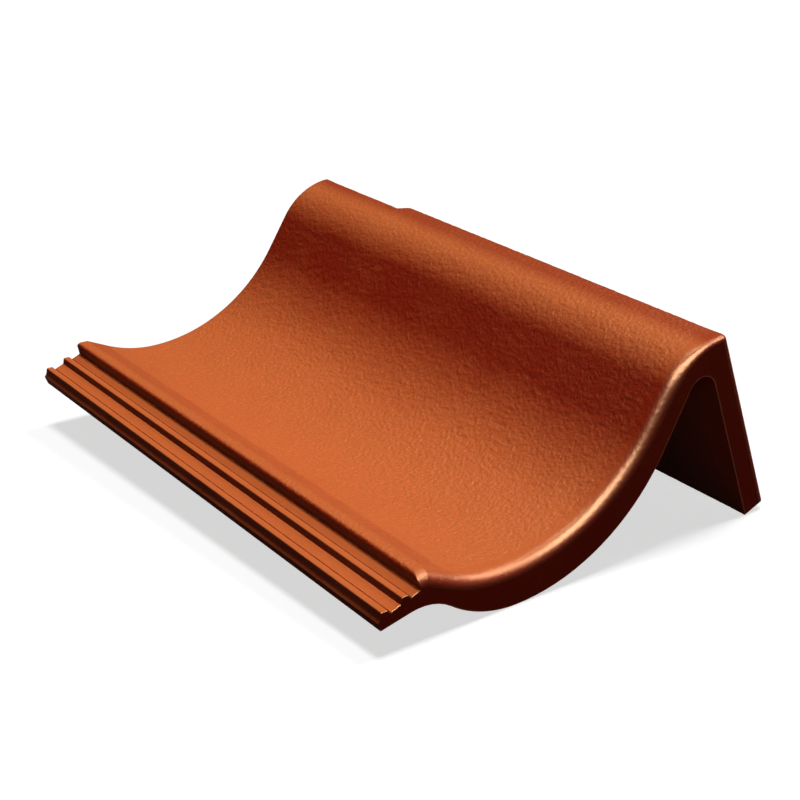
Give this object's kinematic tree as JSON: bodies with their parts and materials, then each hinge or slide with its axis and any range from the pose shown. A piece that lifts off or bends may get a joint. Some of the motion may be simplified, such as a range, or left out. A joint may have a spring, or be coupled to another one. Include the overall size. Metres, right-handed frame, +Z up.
{
  "type": "verge roof tile",
  "caption": "Clay verge roof tile with a curved pan, a ribbed side lock, a high roll and a turned-down flange that closes the gable edge of a roof.",
  "frame": {"origin": "centre of the tile's outline on the floor that it rests on", "axes": "+Y from the tail edge to the head edge, +X from the side lock to the verge flange, +Z up; the tile rests on its nibs and tail edge, head end up by about 2.2 degrees"},
  "size_m": [0.307, 0.4244, 0.1469],
  "materials": {
    "clay": "fired terracotta with a thin matt-satin slip, finely pebbled face"
  },
  "bodies": {
    "root": {"roof_tile": "clay"}
  },
  "joints": []
}
